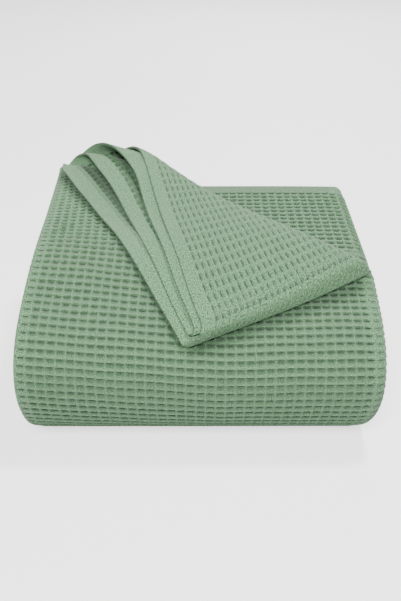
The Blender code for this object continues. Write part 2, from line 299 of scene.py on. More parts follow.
def back_fold(centre_y, centre_z, outer, flip):
    """A half turn at the back. outer is the radius of its ply 0, and flip makes the others larger."""
    def point(x, angle, ply):
        radius = (outer + ply if flip else outer - ply) * PITCH
        return x, centre_y + radius * np.sin(angle), centre_z - radius * np.cos(angle)
    return point


# ---------------------------------------------------------------- way across the sheet, hem to hem

WIDE_FOLD = 1.5               # radii of the folds at the sides, in pitches
TIGHT_FOLD = 0.5
RIGHT = WIDTH / 2 - WIDE_FOLD * PITCH
LEFT = -WIDTH / 2 + TIGHT_FOLD * PITCH
# (start x, end x, start ply, end ply, fold radius in pitches or 0 for a flat run)
ACROSS = [
    (-WIDTH / 2 + HEM_STEP, RIGHT, 3, 3, 0),
    (RIGHT, RIGHT, 3, 0, WIDE_FOLD),
    (RIGHT, LEFT, 0, 0, 0),
    (LEFT, LEFT, 0, 1, TIGHT_FOLD),
    (LEFT, RIGHT, 1, 1, 0),
    (RIGHT, RIGHT, 1, 2, TIGHT_FOLD),
    (RIGHT, -WIDTH / 2, 2, 2, 0),
]
RUNS = [math.pi * radius * PITCH if radius else abs(end - start) for start, end, _, _, radius in ACROSS]
STARTS = np.concatenate(([0.0], np.cumsum(RUNS)))
SHEET_WIDTH = float(STARTS[-1])
CELLS_ACROSS = 149
CELL_WIDE = SHEET_WIDTH / CELLS_ACROSS


def place_across(mark):
    """(x, ply) at a distance from the first hem."""
    mark = np.asarray(mark, dtype=float)
    x, ply = np.zeros_like(mark), np.zeros_like(mark)
    which = np.clip(np.searchsorted(STARTS, mark, side="right") - 1, 0, len(ACROSS) - 1)
    for number, (start, end, first, last, radius) in enumerate(ACROSS):
        here = which == number
        share = (mark[here] - STARTS[number]) / RUNS[number]
        if radius:
            side = 1 if start > 0 else -1
            x[here] = start + side * radius * PITCH * np.sin(math.pi * share)
            ply[here] = (first + last) / 2 + (first - last) / 2 * np.cos(math.pi * share)
        else:
            x[here] = start + (end - start) * share
            ply[here] = first
    return x, ply


# ---------------------------------------------------------------- relief of the cloth

def ridges(cell, floor, power):
    """1 on a ridge, 0 on the floor of a cell, which lies at this share of it."""
    share = cell - np.floor(cell)
    return np.where(share < floor, (floor - share) / floor, (share - floor) / (1 - floor)) ** power


def waffle(wide, long, drawn):
    """1 on the ridges of the weave, 0 on the floor of a cell."""
    floor = FLOOR_SHARE + (0.5 - FLOOR_SHARE) * smooth((long - EVEN_FROM) / EVEN_OVER)
    sides = ridges(wide, 0.5, SIDE_POWER + (DRAWN_SIDE_POWER - SIDE_POWER) * drawn)
    rows = ridges(long, floor, RIDGE_POWER + (DRAWN_POWER - RIDGE_POWER) * drawn)
    return 1 - (1 - sides) * (1 - rows)


def slow(wide, long):
    """Slow unevenness, from -1 to 1."""
    swell = np.sin(wide * SWELL_WIDE[0] + SWELL_WIDE[1]) * np.sin(long * SWELL_LONG[0] + SWELL_LONG[1])
    ripple = np.sin(wide * RIPPLE[0] + long * RIPPLE[1] + RIPPLE[2])
    return (swell + RIPPLE_SHARE * ripple) / (1 + RIPPLE_SHARE)


def hem_share(wide, long, hemmed):
    """1 in a plain hem, 0 in the weave."""
    share = np.zeros_like(wide)
    for inwards in ([long] if "end" in hemmed else []) + [wide, CELLS_ACROSS - wide]:
        share = np.maximum(share, np.where(inwards < HEM_CELLS + HEM_MARGIN, 1.0, 0.0))
    return share


def crease_share(marks):
    """1 in the folds at the strip's sides, 0 away from them."""
    nearest = np.full(marks.shape, 1.0)
    for start, run, (_, _, _, _, radius) in zip(STARTS, RUNS, ACROSS):
        if radius:
            away = np.maximum(start - marks, marks - start - run)
            nearest = np.minimum(nearest, np.maximum(away, 0.0))
    return 1 - smooth(nearest / CREASE_REACH)


def edge_share(marks):
    """1 in the plain band beside the outer fold at the strip's right side, 0 away from it."""
    return 1 - smooth((np.abs(marks - STARTS[1] - EDGE_MIDDLE) - EDGE_BAND) / EDGE_FADE)


def cell_chance(wide, long):
    """A fixed random value from -1 to 1 for each cell."""
    value = np.sin(np.floor(wide) * CHANCE_STEPS[0] + np.floor(long) * CHANCE_STEPS[1]) * CHANCE_SCALE
    return 2 * (value - np.floor(value)) - 1


def offsets(wide, long, side, strength, hemmed):
    """How far a face of the cloth lies from its middle. side is 1 for the first, -1 for the other."""
    shift = 0.0 if side > 0 else BACK_SHIFT
    drawn = np.clip((strength - 1) / (DRAWN_RELIEF - 1), 0, 1)
    pits = 1 - waffle(wide + shift, long + shift, drawn)
    height = RELIEF * (1 - pits - RELIEF_LEVEL)
    height -= RELIEF * DEPTH_CHANCE * pits * cell_chance(wide + shift, long + shift)
    height *= strength * (1 if side > 0 else BACK_RELIEF)
    hem = hem_share(wide, long, hemmed)
    return THICKNESS / 2 + height * (1 - hem) + HEM_RAISE * hem


# ---------------------------------------------------------------- pieces of the sheet

def settle(point):
    """Narrow the bundle towards its top and bottom, and let it lie a little uneven."""
    x, y, z = point[..., 0], point[..., 1], point[..., 2]
    level = np.clip(z, 0.0, TOP_Z)
    x = x * (1 - NARROWING * ((level - MIDDLE_Z) / HALF_STACK) ** 2)
    z = np.maximum(z * (1 + SAG * np.sin(SAG_ACROSS * x + SAG_DEEP * y)), 0.0)
    y = y + SAG * z * np.sin(LEAN_ACROSS * x - LEAN_PHASE)
    return np.stack((x, y, z), axis=-1) - np.array(CENTRE)


def unit(vectors):
    return vectors / np.maximum(np.linalg.norm(vectors, axis=-1, keepdims=True), TINY)


def skewed(path, x):
    """The rows of cells slope down to the right on the left part of the front."""
    faded = smooth((path - BEND_END + SKEW_END) / SKEW_FADE)
    grown = smooth((path - SKEW_FROM) / SKEW_OVER) * (1 - faded)
    return path - ROW_SLOPE * grown * np.maximum(SKEW_RIGHT - x, 0.0)


def distance(places, line):
    """How far these places lie from the nearest point of a line of points."""
    nearest = np.full(places.shape[:-1], 1.0)
    for start, end in zip(line[:-1], line[1:]):
        run = end - start
        share = np.clip((places - start) @ run / (run @ run), 0, 1)
        away = np.linalg.norm(places - start - share[..., None] * run, axis=-1)
        nearest = np.minimum(nearest, away)
    return nearest


class Stretch:
    """Rows of one stretch of the strip: where each lies, and how many cells along the weave it is.

    skew is set on the top pass, which shows: its rows slope and wander, and it knows the turned corner.
    """

    def __init__(self, point, positions, longs, forwards=1, skew=False):
        self.point = point
        self.positions = np.asarray(positions, dtype=float)
        self.longs = np.asarray(longs, dtype=float)
        self.forwards = forwards
        self.skew = skew

    def painted_shade(self, marks):
        """Painted shade: 1 close beside the turned corner's edges, less on its fold and where its plies
        are covered.
        """
        if not self.skew:
            return np.zeros((len(self.positions), len(marks)))
        x, ply = place_across(marks)
        place = np.stack(np.broadcast_arrays(x[None, :], self.positions[:, None]), axis=-1)
        turned = turned_share(x[None, :], self.positions[:, None], ply[None, :])
        down = np.linspace(SHADE_START, SHADE_END, EDGE_STEPS)
        over = np.linspace(RIGHT, SHADE_LEFT, EDGE_STEPS)
        sides = [top_pass(np.full(EDGE_STEPS, RIGHT), down, 0, flat=True),
                 top_pass(over, np.zeros(EDGE_STEPS), 0, flat=True)]
        right, left = (distance(place, np.stack(side, axis=-1)) for side in sides)
        near = np.maximum(np.exp(-(np.maximum(right - SHADE_STEP, 0) / SHADE_REACH) ** 2),
                          np.exp(-(np.maximum(left - LEFT_STEP, 0) / LEFT_REACH) ** 2))
        near = near * (ply[None, :] < 1)
        fold = (marks[None, :] - STARTS[1]) / RUNS[1]
        beyond = fold >= 1
        fold = smooth((fold - FOLD_SHADE_FROM) / FOLD_SHADE_OVER) * (fold < 1)
        covered = smooth(self.longs[:, None] - HEM_CELLS) * beyond
        return near * (1 - turned) + (FOLD_SHADE * fold + UNDER_SHADE * covered) * turned

    def middle(self, marks, step_along=0.0, step_across=0.0):
        marks = marks + step_across
        x, ply = place_across(marks)
        x = x[None, :] + np.zeros((len(self.positions), 1))
        ply = ply[None, :] + 0 * x
        position = self.positions[:, None] + step_along * self.forwards + 0 * x
        if self.skew:
            position = skewed(position, x)
            near_side = np.clip(1 - (x - LEFT) / CORNER_REACH, 0, 1)
            corner = near_side * np.clip(1 - self.longs[:, None] / CORNER_ROWS, 0, 1)
            position = position + CORNER_ROUND * corner ** 2 * (ply < PLIES - 1)
            position = position + WOBBLE * slow(marks[None, :] / CELL_WIDE, self.longs[:, None])
        return np.stack(np.broadcast_arrays(*self.point(x, position, ply)), axis=-1)

    def strength(self, marks):
        """How much of the relief is left at each point."""
        crease = np.broadcast_to(crease_share(marks)[None, :], (len(self.positions), len(marks)))
        if not self.skew:
            return 1 - INNER_CREASE_LOSS * crease
        x, ply = place_across(marks)
        ply = ply[None, :] + 0 * self.positions[:, None]
        turned = turned_share(x[None, :], self.positions[:, None], ply)
        pressed = turned * smooth(ply - (PLIES - 2))
        back = BACK_LOSS * (1 - smooth((self.positions[:, None] - BACK_FROM) / BACK_OVER))
        edge = edge_share(marks)[None, :]
        return ((1 - CREASE_LOSS * crease * (1 - turned)) * (1 - TURNED_LOSS * pressed)
                * (1 - EDGE_LOSS * edge * turned)
                * (1 - TURNED_CREASE_LOSS * crease ** TURNED_CREASE_POWER * turned)
                * (1 - back * (1 - turned)))

    def faces(self, marks, woven, hemmed):
        """Middles, outward, along and across directions, weave, offsets of both faces, relief, painted
        shade.
        """
        along = self.middle(marks, NORMAL_STEP) - self.middle(marks, -NORMAL_STEP)
        inner = np.clip(marks, NORMAL_STEP, SHEET_WIDTH - NORMAL_STEP)
        across = self.middle(inner, 0, NORMAL_STEP) - self.middle(inner, 0, -NORMAL_STEP)
        normal = unit(np.cross(across, along))
        wide = np.broadcast_to(marks / CELL_WIDE, normal.shape[:2])
        strength = woven * self.strength(marks)
        long = np.broadcast_to(self.longs[:, None], normal.shape[:2])
        curl = HEM_CURL * np.clip(1 - long / CURL_CELLS, 0, 1) ** 2 * (1 - crease_share(marks))
        curl = curl if self.skew else 0 * long
        return (self.middle(marks) - normal * curl[..., None], normal, unit(along), unit(across),
                wide, long, offsets(wide, long, 1, strength, hemmed),
                offsets(wide, long, -1, strength, hemmed), strength, self.painted_shade(marks))


class Shell:
    """Collects closed stretches of cloth for one mesh."""

    def __init__(self):
        self.points, self.quads, self.weave = [], [], []
        self.strength, self.shift, self.painted_shade = [], [], []
        self.count = 0
        self.area = 0.0       # of the cloth, halfway between its faces

    def add_points(self, points, wide, long, strength, painted_shade, shift=0.0):
        self.points.append(points.reshape(-1, 3))
        self.weave.append(np.stack((wide.ravel(), long.ravel()), axis=-1))
        self.strength.append(strength.ravel())
        self.painted_shade.append(painted_shade.ravel())
        self.shift.append(np.full(wide.size, shift))
        first = self.count
        self.count += wide.size
        return np.arange(first, self.count).reshape(wide.shape)

    def add_grid(self, index):
        low, high = index[:-1], index[1:]
        quads = np.stack((low[:, :-1], low[:, 1:], high[:, 1:], high[:, :-1]), axis=-1)
        self.quads.append(quads.reshape(-1, 4))

    def cloth(self, stretches, marks, woven, hemmed=(), round_sides=()):
        """Both faces of the cloth over these rows and marks, closed by a rim on every side."""
        parts = zip(*(stretch.faces(marks, woven, hemmed) for stretch in stretches))
        middle, normal, along, across, wide, long, up, down, strength, painted_shade = map(np.concatenate, parts)
        lying = settle(middle)
        steps = np.cross(lying[1:, :-1] - lying[:-1, :-1], lying[:-1, 1:] - lying[:-1, :-1])
        self.area += float(np.linalg.norm(steps, axis=-1).sum())
        upper = self.add_points(settle(middle + normal * up[..., None]), wide, long, strength, painted_shade)
        lower = self.add_points(settle(middle - normal * down[..., None]), wide, long, strength, painted_shade,
                                BACK_SHIFT)
        self.add_grid(upper)
        self.add_grid(lower[:, ::-1])
        for side in ("start", "end", "first", "last"):
            cut = {"start": np.s_[0], "end": np.s_[-1], "first": np.s_[:, 0], "last": np.s_[:, -1]}[side]
            outward = {"start": -along, "end": along, "first": -across, "last": across}[side][cut]
            rings = [upper[cut]]
            for angle in RIM_ANGLES if side in round_sides else ():
                height = up[cut] if angle < 90 else down[cut]
                push = THICKNESS / 2 * math.sin(math.radians(angle))
                point = (middle[cut] + outward * push
                         + normal[cut] * (height * math.cos(math.radians(angle)))[:, None])
                # painted shade on the rims along a free end
                painted_rim_shade = np.full(wide[cut].shape, RIM_SHADE if side == "start" else 0.0)
                rings.append(self.add_points(settle(point), wide[cut], long[cut], strength[cut], painted_rim_shade))
            rings.append(lower[cut])
            rim = np.stack(rings)
            self.add_grid(rim[::-1] if side in ("start", "last") else rim)

    def mesh(self, name, material):
        points = np.concatenate(self.points)
        quads = np.concatenate(self.quads)
        mesh = bpy.data.meshes.new(name)
        mesh.from_pydata(points.tolist(), [], quads.tolist())
        corners = np.empty(len(mesh.loops), dtype=np.int32)
        mesh.loops.foreach_get("vertex_index", corners)
        weave = np.concatenate(self.weave)[corners]
        mesh.uv_layers.new(name="weave").data.foreach_set("uv", weave.astype(np.float32).ravel())
        for label, values in (("relief", self.strength), ("shift", self.shift), ("painted_shade", self.painted_shade)):
            layer = mesh.attributes.new(label, "FLOAT", "POINT")
            layer.data.foreach_set("value", np.concatenate(values).astype(np.float32))
        mesh.materials.append(material)
        mesh.shade_smooth()
        mesh.set_sharp_from_angle(angle=SHARP_ANGLE)
        piece = bpy.data.objects.new(name, mesh)
        bpy.context.scene.collection.objects.link(piece)
        return piece


def cells(first, last, shares):
    """Positions in cells, from one ridge to another, with these shares inside each cell."""
    inside = [number + share for number in range(first, last) for share in shares]
    return np.array(inside + [last], dtype=float)


# ---------------------------------------------------------------- the material

class Shade:
    """A value in a shader, so that sums read as sums."""

    def __init__(self, tree, socket):
        self.tree = tree
        self.socket = socket

    def maths(self, kind, *others):
        node = self.tree.nodes.new("ShaderNodeMath")
        node.operation = kind
        for place, other in enumerate((self,) + others):
            if isinstance(other, Shade):
                self.tree.links.new(other.socket, node.inputs[place])
            else:
                node.inputs[place].default_value = other
        return Shade(self.tree, node.outputs[0])

    def __add__(self, other):
        return self.maths("ADD", other)

    def __sub__(self, other):
        return self.maths("SUBTRACT", other)

    def __rsub__(self, other):
        return self.maths("MULTIPLY", -1.0).maths("ADD", other)

    def __mul__(self, other):
        return self.maths("MULTIPLY", other)

    def __pow__(self, other):
        return self.maths("POWER", other)


def new_node(tree, kind, settings=None, **sockets):
    """A node with its settings, and its sockets set to values or linked to shades."""
    node = tree.nodes.new(kind)
    for key, value in (settings or {}).items():
        setattr(node, key, value)
    for key, value in sockets.items():
        socket = node.inputs[key.replace("_", " ")]
        if isinstance(value, Shade):
            tree.links.new(value.socket, socket)
        else:
            socket.default_value = value
    return node


COTTON = (0.157, 0.310, 0.161)
CLOTH = {"Roughness": 0.92, "Sheen_Weight": 0.18, "Sheen_Roughness": 0.6, "Specular_IOR_Level": 0.2}
FUZZ = {"Scale": 7.0, "Detail": 3.0, "Roughness": 0.75}
TONE = {"Scale": 0.35, "Detail": 4.0, "Roughness": 0.6}
TONE_SPREAD = 0.16
TONE_BASE = 0.92
YARNS = 11                    # in a cell
BUMP_ONLY_BELOW = 0.01          # where the cloth has no relief, its cells are only bumped, with painted shade in their floors
BUMP_ONLY_HEIGHT = 0.0016
THREAD_HEIGHT = 0.0001
FUZZ_HEIGHT = 0.0008
GRAIN = 4.0                   # contrast of the cotton's grain
SMOOTH_GRAIN = 3.0            # and how much more of it shows where the cloth is smooth
PIT_SHADE = 0.64              # painted shade: how much darker the floor of a cell is
EVEN_SHADE = 0.40             # and how much darker still in the even cells
DRAWN_SHADE = 0.60            # and in the drawn out ones
PEAK = 4                      # makes share * (1 - share) reach 1
PRESSED_SHADE_POWER = 1.5              # where the cells are pressed flat, the painted shade of their floors shrinks to small dark marks
# how much darker the painted shade is in pressed cells, and how it fades where the relief is low
PRESSED_SHADE = 0.65
PIT_SHADE_FADE = 0.5
CORNER_SHADE = 0.55           # painted shade and shadow: how much darker the cloth is beside the turned corner, on its fold, on rims and on covered plies and how much darker the drawn out end's hem is
HEM_SHADE = 0.20              # and the drawn out end's hem
SHADE_TINT = 0.10             # red and blue fade more in the painted shade than green does


def attribute(tree, name):
    return Shade(tree, new_node(tree, "ShaderNodeAttribute", {"attribute_name": name}).outputs["Fac"])


def noise(tree, place, settings):
    return Shade(tree, new_node(tree, "ShaderNodeTexNoise", Vector=place, **settings).outputs["Fac"])


def cotton_material():
    material = bpy.data.materials.new("cotton")
    material.use_nodes = True
    tree = material.node_tree
    tree.nodes.clear()
    place = Shade(tree, new_node(tree, "ShaderNodeUVMap", {"uv_map": "weave"}).outputs["UV"])
    split = new_node(tree, "ShaderNodeSeparateXYZ", Vector=place)
    wide, long = (Shade(tree, split.outputs[axis]) for axis in ("X", "Y"))
    relief, shift, painted_shade = (attribute(tree, name) for name in ("relief", "shift", "painted_shade"))
    bump_only = relief.maths("LESS_THAN", BUMP_ONLY_BELOW)
    drawn = ((relief - 1) * (1 / (DRAWN_RELIEF - 1))).maths("MAXIMUM", 0.0).maths("MINIMUM", 1.0)
    pressed = (1 - relief).maths("MAXIMUM", 0.0) * relief * PEAK

    def ridge(cell, floor, power):
        share = cell.maths("FRACT")
        near, far = 1 - share.maths("DIVIDE", floor), (share - floor).maths("DIVIDE", 1 - floor)
        return near.maths("MAXIMUM", far) ** power

    def thread(cell):
        return ((cell * YARNS).maths("FRACT") - 0.5).maths("ABSOLUTE")

    plain = wide.maths("LESS_THAN", HEM_CELLS).maths("MAXIMUM", long.maths("LESS_THAN", HEM_CELLS))
    plain = plain.maths("MAXIMUM", wide.maths("GREATER_THAN", CELLS_ACROSS - HEM_CELLS))
    even = new_node(tree, "ShaderNodeMapRange", {"interpolation_type": "SMOOTHSTEP"}, Value=long,
                    From_Min=EVEN_FROM, From_Max=EVEN_FROM + EVEN_OVER)
    even = Shade(tree, even.outputs["Result"])
    floor = even * (0.5 - FLOOR_SHARE) + FLOOR_SHARE
    sides = ridge(wide + shift, 0.5, drawn * (DRAWN_SIDE_POWER - SIDE_POWER) + SIDE_POWER)
    rows = ridge(long + shift, floor, drawn * (DRAWN_POWER - RIDGE_POWER) + RIDGE_POWER)
    pit = (1 - sides) * (1 - rows) * (1 - plain)
    fuzz = noise(tree, place, FUZZ)
    height = (1 - pit) * bump_only * BUMP_ONLY_HEIGHT
    height = height + (thread(wide) + thread(long)) * THREAD_HEIGHT + fuzz * FUZZ_HEIGHT
    bump = new_node(tree, "ShaderNodeBump", Strength=1.0, Distance=1.0, Height=height)

    grain = (1 - relief).maths("MAXIMUM", plain) * SMOOTH_GRAIN + GRAIN
    light = noise(tree, place, TONE) * TONE_SPREAD + (fuzz - 0.5) * grain + TONE_BASE
    # painted shade in the floors of the cells, where less light reaches
    mark = pit ** (pressed * PRESSED_SHADE_POWER + 1)
    light = light * (1 - mark * (relief ** PIT_SHADE_FADE + bump_only)
                     * (even * EVEN_SHADE + pressed * PRESSED_SHADE + drawn * DRAWN_SHADE + PIT_SHADE))
    # painted shade and shadow beside the turned corner, on its fold, on free rims and on covered plies
    light = light * (1 - painted_shade * CORNER_SHADE) * (1 - plain * drawn * HEM_SHADE)
    tinted = light * (1 - painted_shade * SHADE_TINT)
    tint = new_node(tree, "ShaderNodeCombineXYZ", X=tinted, Y=light, Z=tinted)
    colour = new_node(tree, "ShaderNodeVectorMath", {"operation": "MULTIPLY"})
    tree.links.new(tint.outputs["Vector"], colour.inputs[1])
    colour.inputs[0].default_value = COTTON
    shader = new_node(tree, "ShaderNodeBsdfPrincipled", **CLOTH)
    tree.links.new(colour.outputs[0], shader.inputs["Base Color"])
    tree.links.new(bump.outputs["Normal"], shader.inputs["Normal"])
    output = tree.nodes.new("ShaderNodeOutputMaterial")
    tree.links.new(shader.outputs["BSDF"], output.inputs["Surface"])
    return material


cotton = cotton_material()

# ---------------------------------------------------------------- the sheet, piece by piece

FLAP_END = 37                 # cells across, where the flap's piece meets the top's
TOP_END = 75                  # and where the top's piece meets the middle's
FRONT_LAST = 65               # rows of cells from the back edge to where the front's piece ends
UNDER_LAST = 63               # the plies under it have a row of points for each cell up to here
BOTTOM_LAST = END_PATH / CELL_LONG
BOTTOM_ROWS = 12
LAST_CELLS = 24
INNER_CELL_LONG = 0.0108      # the inner end's cells are drawn out along the strip
LAST_PATH = HEM_STEP + LAST_CELLS * INNER_CELL_LONG
WIDE_FOLD_STEPS = 14          # steps between the points of the hidden passes
TIGHT_FOLD_STEPS = 8
FLAT_STEPS = 12
MARK_GAP = 1e-4
BEND_STEP = 0.008
FLAT_STEP = 0.02
TURN_STEP = 0.15              # in radians


def marks_of(first, last, shares):
    return cells(first, last, shares) * CELL_WIDE


def top_rows(longs):
    return Stretch(top_pass, np.asarray(longs) * CELL_LONG, longs, skew=True)


INNER_POINT = along_bend(2 * PLIES - 1, True)


def inner_rows(longs):
    return Stretch(INNER_POINT, HEM_STEP + np.asarray(longs) * INNER_CELL_LONG, longs, -1)


TOP_LONGS = cells(0, TOP_CELLS, FINE)

flap = Shell()
flap.cloth([top_rows(TOP_LONGS)], marks_of(0, FLAP_END, FINE), 1.0, ("end",), ("start", "first"))
top = Shell()
top.cloth([top_rows(TOP_LONGS)], marks_of(FLAP_END, TOP_END, FINE), 1.0, ("end",), ("start",))
middle = Shell()
middle.cloth([top_rows(cells(0, TOP_CELLS, MEDIUM))], marks_of(TOP_END, CELLS_ACROSS, MEDIUM), 1.0,
             ("end",), ("start", "last"))
front = Shell()
front.cloth([top_rows(cells(TOP_CELLS, FRONT_LAST, FINE))], marks_of(FLAP_END, TOP_END, FINE), 1.0)

rest = Shell()


def strip_marks(first, last):
    """Marks for the hidden passes: close together in the folds, wide apart in between."""
    marks = []
    for start, run, (_, _, _, _, radius) in zip(STARTS, RUNS, ACROSS):
        count = {0: FLAT_STEPS, TIGHT_FOLD: TIGHT_FOLD_STEPS, WIDE_FOLD: WIDE_FOLD_STEPS}[radius]
        marks += list(start + run * np.arange(count) / count)
    low, high = first * CELL_WIDE, last * CELL_WIDE
    return np.array([low] + [mark for mark in marks if low + MARK_GAP < mark < high - MARK_GAP] + [high])


def spaced(first, last, step):
    count = max(1, round(abs(last - first) / step))
    return np.linspace(first, last, count + 1)


def path_stretch(point, first, last, start_long, forwards):
    """Rows of a pass, its bend and the next pass; start_long is the weave's count at the first row."""
    marks = [first, TOP_RUN, SLOPE_END, BEND_END, last]
    if first > last:
        marks = [first, BEND_END, SLOPE_END, TOP_RUN, last]
    rows = [first]
    for low, high in zip(marks, marks[1:]):
        step = BEND_STEP if {low, high} == {SLOPE_END, BEND_END} else FLAT_STEP
        rows += list(spaced(low, high, step)[1:])
    rows = np.array(rows)
    longs = start_long + np.abs(rows - first) / CELL_LONG
    return Stretch(point, rows, longs, forwards)


def fold_stretch(point, first, last, radius, start_long, forwards):
    rows = spaced(first, last, TURN_STEP)
    return Stretch(point, rows, start_long + np.abs(rows - first) * radius / CELL_LONG, forwards)


def build_rest():
    # the plies under the outer one, round the front bend
    longs = np.concatenate((np.arange(TOP_CELLS, UNDER_LAST, 1.0),
                            np.linspace(UNDER_LAST, BOTTOM_LAST, BOTTOM_ROWS)))
    rest.cloth([top_rows(longs)], strip_marks(0, FLAP_END), 0.0, (), ("first",))
    rest.cloth([top_rows(longs)], strip_marks(TOP_END, CELLS_ACROSS), 0.0, (), ("last",))
    longs = np.linspace(FRONT_LAST, BOTTOM_LAST, BOTTOM_ROWS)
    rest.cloth([top_rows(longs)], strip_marks(FLAP_END, TOP_END), 0.0)
    # the passes below
    at = BOTTOM_LAST
    stretches = []
    # (shape, first and last position, radius of a fold or 0 for a pass, way along the strip)
    plan = [
        (back_fold(BACK_CENTRE_Y, BACK_CENTRE_Z, BIG_TURN, False), 0.0, math.pi, BIG_BACK, 1),
        (along_bend(4 * PLIES - 1, True), END_PATH, SMALL_BACK, 0, -1),
        (back_fold(DEPTH - SMALL_BACK, SMALL_BACK_Z, SMALL_TURN, False), 0.0, math.pi, SMALL_BACK, 1),
        (along_bend(2 * PLIES, False), SMALL_BACK, END_PATH, 0, 1),
        (back_fold(BACK_CENTRE_Y, BACK_CENTRE_Z, TIGHT_TURN, True), math.pi, 0.0, SMALL_BACK, -1),
        (INNER_POINT, END_PATH, LAST_PATH, 0, -1),
    ]
    for point, first, last, radius, forwards in plan:
        if radius:
            stretch = fold_stretch(point, first, last, radius, at, forwards)
        else:
            stretch = path_stretch(point, first, last, at, forwards)
        at = stretch.longs[-1]
        if radius:
            kept = slice(1 if stretches else 0, -1)
            stretch.positions, stretch.longs = stretch.positions[kept], stretch.longs[kept]
        stretches.append(stretch)
    rest.cloth(stretches, strip_marks(0, CELLS_ACROSS), 0.0, (), ("first", "last"))
    # the inner end's plies under the uppermost one
    last_rows = spaced(LAST_PATH, HEM_STEP, FLAT_STEP)
    inner = Stretch(INNER_POINT, last_rows, (last_rows - HEM_STEP) / CELL_LONG, -1)
    rest.cloth([inner], strip_marks(FLAP_END, CELLS_ACROSS), 0.0, (), ("start", "last", "end"))


build_rest()

inner_end = Shell()
inner_end.cloth([inner_rows(cells(0, LAST_CELLS, FINE)[::-1])], marks_of(0, FLAP_END, FINE), DRAWN_RELIEF,
                ("end",), ("end", "first"))

# each piece with the width and length that it takes of the flat sheet
TOP_LENGTH = TOP_CELLS * CELL_LONG
FRONT_LENGTH = (FRONT_LAST - TOP_CELLS) * CELL_LONG
pieces = [
    (flap.mesh("flap", cotton), FLAP_END * CELL_WIDE, TOP_LENGTH),
    (top.mesh("top", cotton), (TOP_END - FLAP_END) * CELL_WIDE, TOP_LENGTH),
    (middle.mesh("middle_plies", cotton), (CELLS_ACROSS - TOP_END) * CELL_WIDE, TOP_LENGTH),
    (front.mesh("front", cotton), (TOP_END - FLAP_END) * CELL_WIDE, FRONT_LENGTH),
    (inner_end.mesh("inner_end", cotton), FLAP_END * CELL_WIDE, LAST_CELLS * INNER_CELL_LONG),
]
inner_passes = rest.mesh("inner_passes", cotton)

# ---------------------------------------------------------------- stitches of the hems

STITCH_STEP = 0.0045
STITCH_LENGTH = 0.0032
STITCH_WIDTH = 0.0009
STITCH_SIDES = 6
STITCH_RINGS = 4
THREAD = (0.20, 0.34, 0.21)
THREAD_ROUGHNESS = 0.8
HEM_SEAM = HEM_CELLS - 0.25   # cells from the edge to its stitches


def stitch_line(stretch, marks, is_end):
    """Middles, directions and outward directions of the stitches on both faces of a hem."""
    middle, normal, along, across = stretch.faces(marks, 1.0, ())[:4]
    direction = across if is_end else along
    places = [settle(middle + normal * (THICKNESS / 2 + HEM_RAISE)),
              settle(middle - normal * (THICKNESS / 2 + HEM_RAISE))]
    return [(place.reshape(-1, 3), direction.reshape(-1, 3), out.reshape(-1, 3))
            for place, out in zip(places, (normal, -normal))]


def every(first, last):
    return np.arange(first + STITCH_STEP / 2, last, STITCH_STEP)


def stitch_places():
    seam = HEM_SEAM * CELL_WIDE
    outer = every(0.0, TOP_CELLS * CELL_LONG) / CELL_LONG
    inner = every(0.0, LAST_CELLS * INNER_CELL_LONG) / INNER_CELL_LONG
    lines = [
        stitch_line(top_rows([HEM_SEAM]), every(0.0, SHEET_WIDTH), True),
        stitch_line(top_rows(outer), np.array([seam, SHEET_WIDTH - seam]), False),
        stitch_line(inner_rows([HEM_SEAM]), every(0.0, FLAP_END * CELL_WIDE), True),
        stitch_line(inner_rows(inner), np.array([seam]), False),
    ]
    both = [face for line in lines for face in line]
    return [np.concatenate([face[number] for face in both]) for number in range(3)]


def stitch_tree(material):
    """Geometry nodes that lay one stitch on every point, along its own direction."""
    tree = bpy.data.node_groups.new("stitches", "GeometryNodeTree")
    tree.interface.new_socket("Geometry", in_out="INPUT", socket_type="NodeSocketGeometry")
    for name in ("Length", "Width"):
        tree.interface.new_socket(name, in_out="INPUT", socket_type="NodeSocketFloat")
    tree.interface.new_socket("Geometry", in_out="OUTPUT", socket_type="NodeSocketGeometry")
    given, result = tree.nodes.new("NodeGroupInput"), tree.nodes.new("NodeGroupOutput")

    ball = new_node(tree, "GeometryNodeMeshUVSphere", Segments=STITCH_SIDES, Rings=STITCH_RINGS,
                    Radius=0.5)
    size = tree.nodes.new("ShaderNodeCombineXYZ")
    tree.links.new(given.outputs["Length"], size.inputs["X"])
    tree.links.new(given.outputs["Width"], size.inputs["Y"])
    tree.links.new(given.outputs["Width"], size.inputs["Z"])
    turn = None
    for name, axis, pivot in (("direction", "X", "AUTO"), ("outward", "Z", "X")):
        vector = new_node(tree, "GeometryNodeInputNamedAttribute", {"data_type": "FLOAT_VECTOR"},
                          Name=name)
        aligned = new_node(tree, "FunctionNodeAlignRotationToVector",
                           {"axis": axis, "pivot_axis": pivot})
        tree.links.new(vector.outputs["Attribute"], aligned.inputs["Vector"])
        if turn:
            tree.links.new(turn.outputs["Rotation"], aligned.inputs["Rotation"])
        turn = aligned
    laid = tree.nodes.new("GeometryNodeInstanceOnPoints")
    tree.links.new(given.outputs["Geometry"], laid.inputs["Points"])
    tree.links.new(ball.outputs["Mesh"], laid.inputs["Instance"])
    tree.links.new(turn.outputs["Rotation"], laid.inputs["Rotation"])
    tree.links.new(size.outputs["Vector"], laid.inputs["Scale"])
    real = tree.nodes.new("GeometryNodeRealizeInstances")
    tree.links.new(laid.outputs["Instances"], real.inputs["Geometry"])
    painted = new_node(tree, "GeometryNodeSetMaterial", Material=material)
    tree.links.new(real.outputs["Geometry"], painted.inputs["Geometry"])
    tree.links.new(painted.outputs["Geometry"], result.inputs["Geometry"])
    return tree


def thread_material():
    material = bpy.data.materials.new("thread")
    material.use_nodes = True
    shader = material.node_tree.nodes["Principled BSDF"]
    shader.inputs["Base Color"].default_value = (*THREAD, 1.0)
    shader.inputs["Roughness"].default_value = THREAD_ROUGHNESS
    return material


